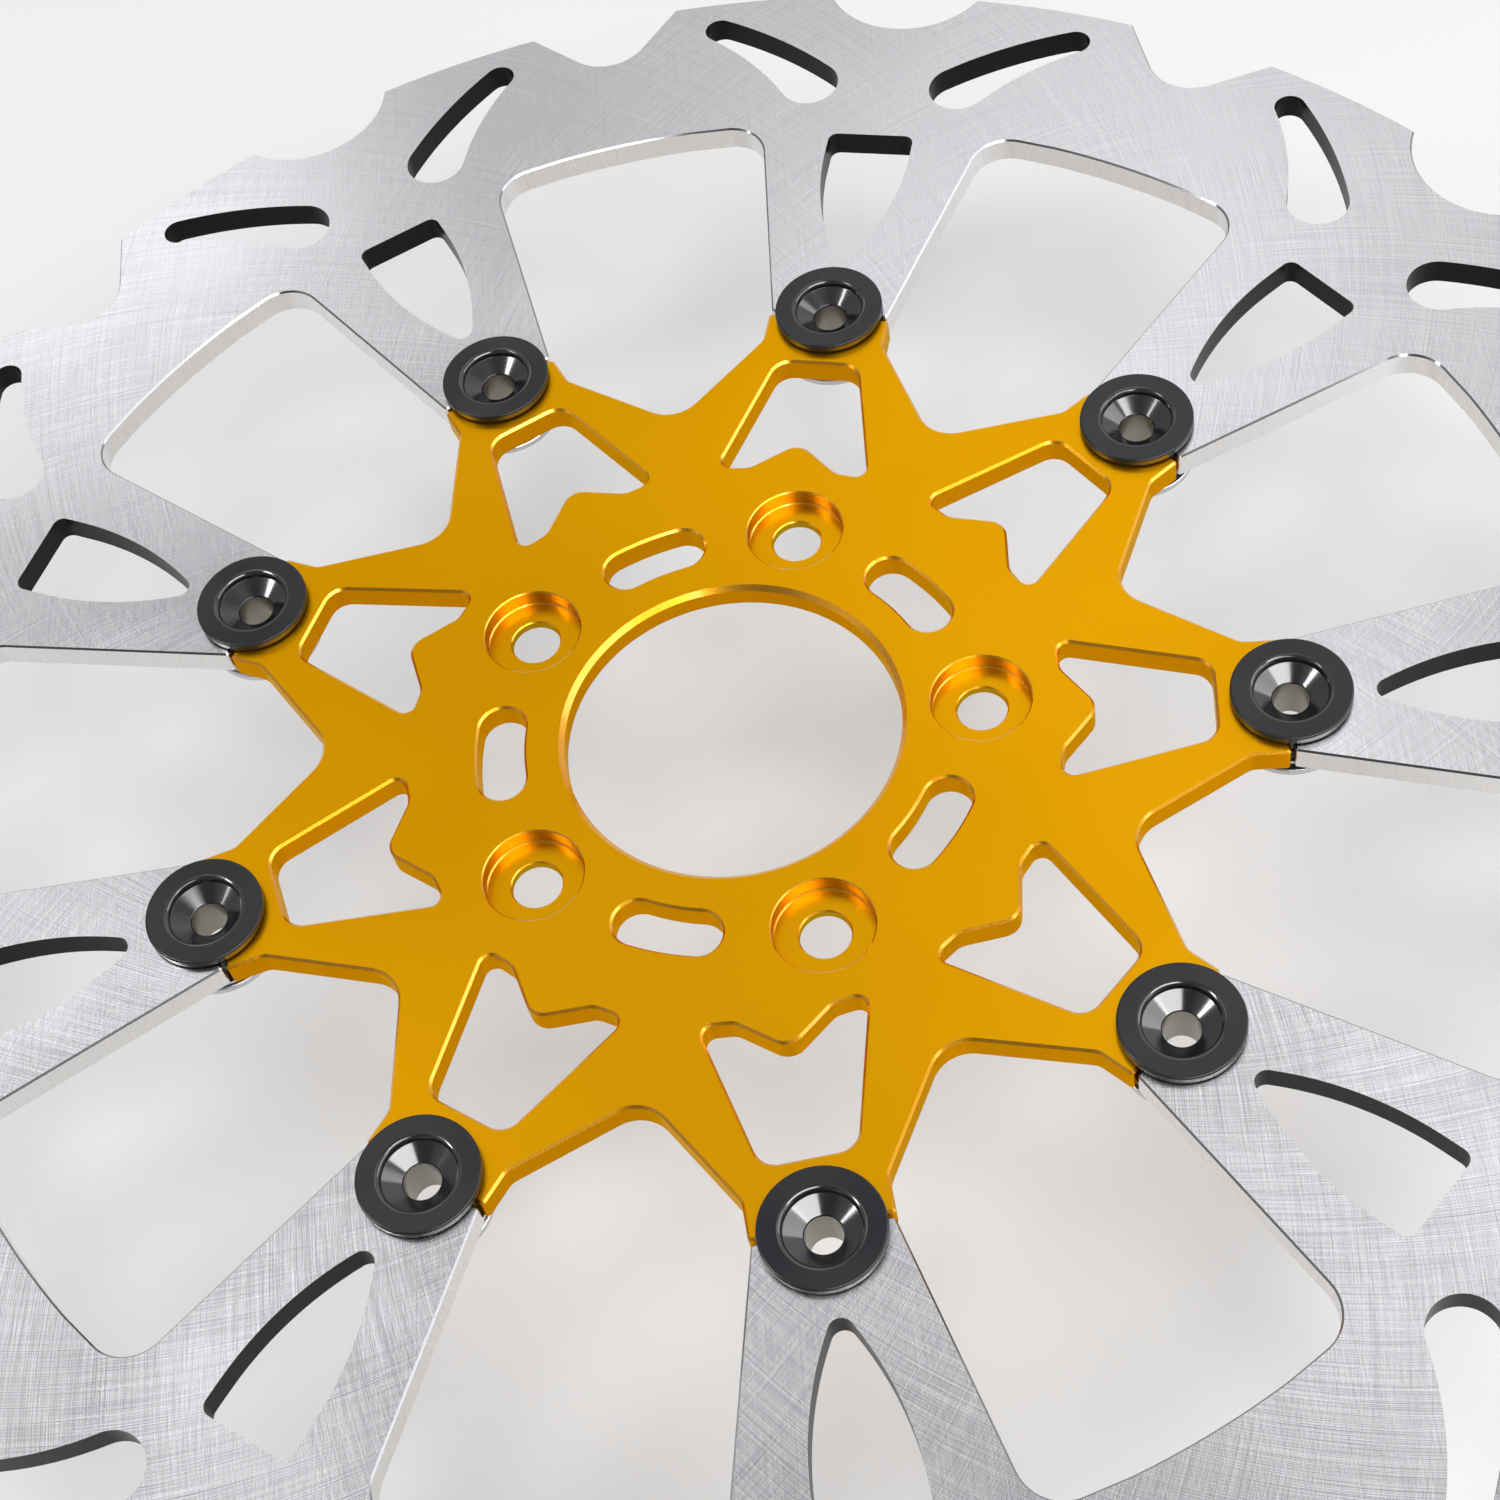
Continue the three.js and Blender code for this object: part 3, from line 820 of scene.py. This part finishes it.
def bobbin_mesh():
    """A bobbin; its profile runs from the foot up the outside, over the flange, down dish and bore."""
    black, dish, bore = range(3)
    bottom, top = heights("bobbin_1")
    clip_bottom, clip_top = heights("circlip_1")
    flange_bottom = heights("carrier")[1] + STACK_GAP
    cone_top = top - DISH_WALL
    cone_slope = math.tan(math.radians(DISH_CONE_SLOPE))
    dish_bottom = cone_top - (DISH_RADIUS - BOBBIN_BORE_RADIUS) * cone_slope
    rim = arc((FLANGE_RADIUS - FLANGE_EDGE, top - FLANGE_EDGE), FLANGE_EDGE, 0, 90)
    lip = arc((DISH_RADIUS + DISH_LIP, top - DISH_LIP), DISH_LIP, 90, 180)
    profile = [
        (BOBBIN_BORE_RADIUS + FOOT_CHAMFER, bottom, black),
        (SHANK_RADIUS - SHANK_CHAMFER, bottom, black),
        (SHANK_RADIUS, bottom + SHANK_CHAMFER, black),
        (SHANK_RADIUS, clip_bottom - GROOVE_MARGIN, black),
        (GROOVE_RADIUS, clip_bottom - GROOVE_MARGIN, black),
        (GROOVE_RADIUS, clip_top + GROOVE_MARGIN, black),
        (SHANK_RADIUS, clip_top + GROOVE_MARGIN, black),
        (SHANK_RADIUS, flange_bottom, black),
        (FLANGE_RADIUS - FLANGE_FOOT, flange_bottom, black),
        (FLANGE_RADIUS, flange_bottom + FLANGE_FOOT, black),
        *((*point, black) for point in rim),
        *((*point, dish) for point in lip),
        (DISH_RADIUS, cone_top, dish),
        (BOBBIN_BORE_RADIUS + BORE_EASE, dish_bottom + BORE_EASE * cone_slope, dish),
        (BOBBIN_BORE_RADIUS, dish_bottom - BORE_EASE, bore),
        (BOBBIN_BORE_RADIUS, bottom + FOOT_CHAMFER, bore),
    ]
    materials = [
        turned_metal("black_anodised_turned", (0.007, 0.0075, 0.0095), 0.24, 0, 0.25, 1.46, 0.7),
        turned_metal("black_anodised_dish", (0.006, 0.0065, 0.008), 0.13, 0, 0.05, 1.85),
        # painted shade: the bore's bare metal is given a dark brownish colour to stand for the shade
        # inside the hole
        turned_metal("bare_bore_painted_shade", (0.27, 0.255, 0.215), 0.3, 1.0, 0.2),
    ]
    return revolve("bobbin_turned", profile, materials)


def washer_mesh(name, node, low, high, steel, edge, lift=None):
    """A washer as wide as its CAD node, with its outer corners eased."""
    box_low, box_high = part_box(node)
    outer = (box_high.x - box_low.x) / 2 / MM
    profile = [
        (WASHER_BORE_RADIUS, low, 0),
        (outer - edge, low, 0),
        (outer, low + edge, 0),
        (outer, high - edge, 0),
        (outer - edge, high, 0),
        (WASHER_BORE_RADIUS, high, 0),
    ]
    return revolve(name, profile, [steel], lift)


def flat_washer_mesh(steel):
    low, high = heights("flat_washer_1")
    return washer_mesh("flat_washer_turned", "flat_washer_1", low, high, steel, FLAT_WASHER_EDGE)


def wave_washer_mesh(steel):
    low, high = heights("wave_washer_1")
    swing = (high - low - WAVE_SHEET) / 2
    middle = low + swing

    def wave(angle):
        return swing * math.cos(WAVES * angle)

    sheet_top = middle + WAVE_SHEET
    edge = WAVE_WASHER_EDGE
    return washer_mesh("wave_washer_bent", "wave_washer_1", middle, sheet_top, steel, edge, wave)


def make_circlips(steel):
    """One open ring per bobbin, with its corners eased; each stays in the rotor's frame."""
    low, high = heights("circlip_1")
    box_low, box_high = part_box("circlip_1")
    outer = (box_high.x - box_low.x) / 2 / MM
    start, end = -90 + CLIP_GAP_ANGLE / 2, 270 - CLIP_GAP_ANGLE / 2
    outline = arc((0, 0), outer, start, end) + arc((0, 0), CLIP_BORE_RADIUS, end, start)
    edges = [(outline, False, broken_edges(high, low, CLIP_EDGE))]
    return [build_plate(f"clip_ring_{i + 1}", edges, [steel] * 3) for i in range(ARMS)]


def make_bobbin_sets():
    washer_steel = turned_metal("washer_steel_rolled", (0.6, 0.6, 0.61), 0.25, 1.0, 0.1)
    clip_steel = turned_metal("clip_steel_dark", (0.16, 0.16, 0.165), 0.35, 1.0, 0.05)
    meshes = {
        "bobbin": bobbin_mesh(),
        "flat_washer": flat_washer_mesh(washer_steel),
        "wave_washer": wave_washer_mesh(washer_steel),
    }
    clips = make_circlips(clip_steel)
    for i in range(ARMS):
        number = i + 1
        angle = i * ARM_PITCH
        x, y = polar(BOBBIN_CIRCLE_RADIUS, angle)
        turn = Matrix.Rotation(-math.radians(angle), 4, "Z")
        place = Matrix.Translation((x * MM, y * MM, 0)) @ turn
        pieces = {"circlip": clips[i]}
        for kind, mesh in meshes.items():
            pieces[kind] = new_object(f"{mesh.name}_{number}", mesh)
        for kind, piece in pieces.items():
            piece.matrix_world = place
            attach(piece, f"bobbin_set_{number}")
            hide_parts(f"{kind}_{number}")


# Scene: floor, light and camera


def make_floor():
    material, _, shader = new_material("pale_floor")
    shader.inputs["Base Color"].default_value = (0.41, 0.41, 0.41, 1)
    shader.inputs["Roughness"].default_value = 0.6
    shader.inputs["Emission Color"].default_value = (1, 1, 1, 1)
    shader.inputs["Emission Strength"].default_value = 0.28
    mesh = bpy.data.meshes.new("floor")
    corners = [(-1, -1), (1, -1), (1, 1), (-1, 1)]
    places = [(x * FLOOR_HALF_WIDTH, y * FLOOR_HALF_WIDTH, -FLOOR_DROP * MM) for x, y in corners]
    mesh.from_pydata(places, [], [(0, 1, 2, 3)])
    mesh.materials.append(material)
    new_object("floor", mesh)


def make_camera():
    place, aim = Vector(CAMERA_PLACE) * MM, Vector(CAMERA_AIM) * MM
    data = bpy.data.cameras.new("camera")
    data.lens = CAMERA_LENS
    data.sensor_width = SENSOR_WIDTH
    data.clip_start = CAMERA_CLIP
    camera = new_object("camera", data)
    camera.location = place
    look = (aim - place).to_track_quat("-Z", "Y")
    camera.rotation_mode = "QUATERNION"
    roll = Matrix.Rotation(math.radians(CAMERA_ROLL), 4, "Z").to_quaternion()
    camera.rotation_quaternion = look @ roll
    bpy.context.scene.camera = camera


def view_direction(azimuth, elevation):
    """A unit direction. Azimuth 0 points from the disc to the camera's side and grows to its right."""
    turn = math.atan2(CAMERA_PLACE[1], CAMERA_PLACE[0]) + math.radians(azimuth)
    lift = math.radians(elevation)
    return Vector((math.cos(turn) * math.cos(lift), math.sin(turn) * math.cos(lift), math.sin(lift)))


def soft_box(name, azimuth, elevation, width, height, radiance, in_metal):
    """A rectangular softbox aimed at the disc; width and height are the angles it fills, in degrees."""
    way = view_direction(azimuth, elevation)
    data = bpy.data.lights.new(name, "AREA")
    data.shape = "RECTANGLE"
    data.size = 2 * LIGHT_DISTANCE * math.tan(math.radians(width) / 2)
    data.size_y = 2 * LIGHT_DISTANCE * math.tan(math.radians(height) / 2)
    data.energy = radiance * math.pi * data.size * data.size_y
    light = new_object(name, data)
    light.visible_glossy = in_metal
    light.location = way * LIGHT_DISTANCE
    light.rotation_mode = "QUATERNION"
    light.rotation_quaternion = (-way).to_track_quat("-Z", "Y")


def make_world():
    """A pale room with soft brighter and darker patches on its walls and ceiling."""
    world = bpy.data.worlds.new("studio")
    bpy.context.scene.world = world
    world.use_nodes = True
    tree = world.node_tree
    background = tree.nodes["Background"]
    direction = add(tree, "ShaderNodeTexCoord").outputs["Generated"]
    light = WALL_LIGHT
    for azimuth, elevation, inner, outer, gain in WORLD_PATCHES:
        way = view_direction(azimuth, elevation)
        aligned = add(
            tree, "ShaderNodeVectorMath", operation="DOT_PRODUCT", sockets={0: direction, 1: way}
        ).outputs["Value"]
        patch = add(
            tree,
            "ShaderNodeMapRange",
            interpolation_type="SMOOTHSTEP",
            sockets={
                "Value": aligned,
                "From Min": math.cos(math.radians(outer)),
                "From Max": math.cos(math.radians(inner)),
                "To Max": gain,
            },
        ).outputs[0]
        light = math_node(tree, "ADD", light, patch)
    light = math_node(tree, "MAXIMUM", light, DARKEST_WALL)
    tree.links.new(light, background.inputs["Color"])


def make_lights():
    make_world()
    for box in SOFT_BOXES:
        soft_box(*box)


make_camera()
make_ring()
make_carrier()
make_bobbin_sets()
make_floor()
make_lights()
bpy.context.scene.view_settings.view_transform = "Standard"
